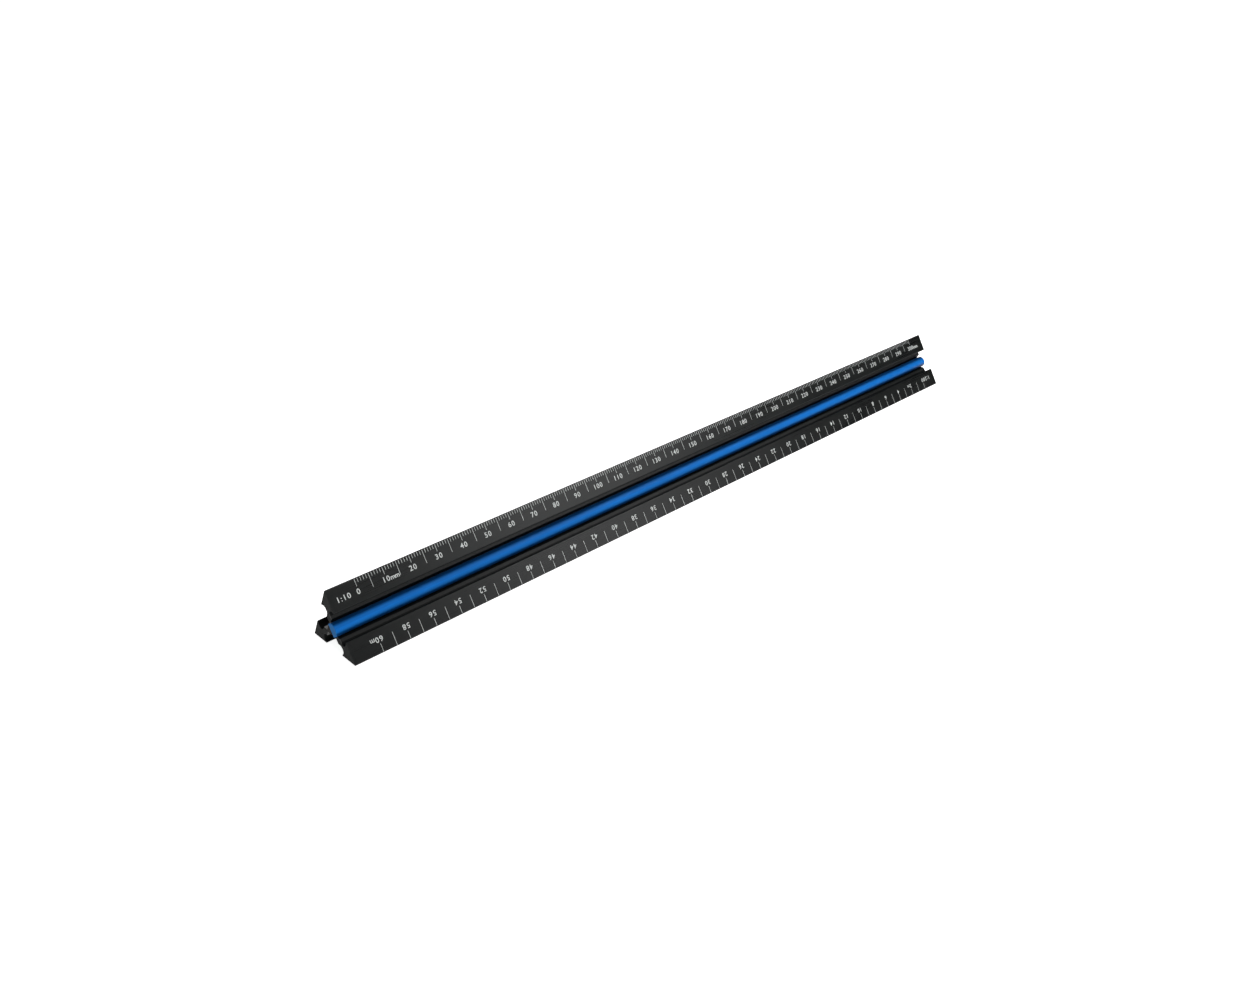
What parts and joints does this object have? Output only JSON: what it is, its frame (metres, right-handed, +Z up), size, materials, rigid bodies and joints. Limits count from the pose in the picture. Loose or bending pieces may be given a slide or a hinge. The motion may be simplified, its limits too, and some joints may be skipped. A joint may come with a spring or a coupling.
{
  "type": "triangular scale ruler",
  "caption": "Triangular scale ruler for technical drawing: black anodised aluminium body with grooved sides, coloured groove strips and printed graduations along each ridge.",
  "frame": {"origin": "centre of the side the ruler lies on, halfway along its length", "axes": "+X along the ruler, -Y towards the side with the blue strip, +Z up through the top ridge"},
  "size_m": [0.3205, 0.025, 0.0217],
  "materials": {
    "body": "satin black anodised",
    "blue_strip": "gloss",
    "red_strip": "gloss",
    "green_strip": "gloss",
    "marking_ink": "matt"
  },
  "bodies": {
    "root": {"scale_body": "body", "blue_groove_strip": "blue_strip", "red_groove_strip": "red_strip", "green_groove_strip": "green_strip"}
  },
  "joints": []
}
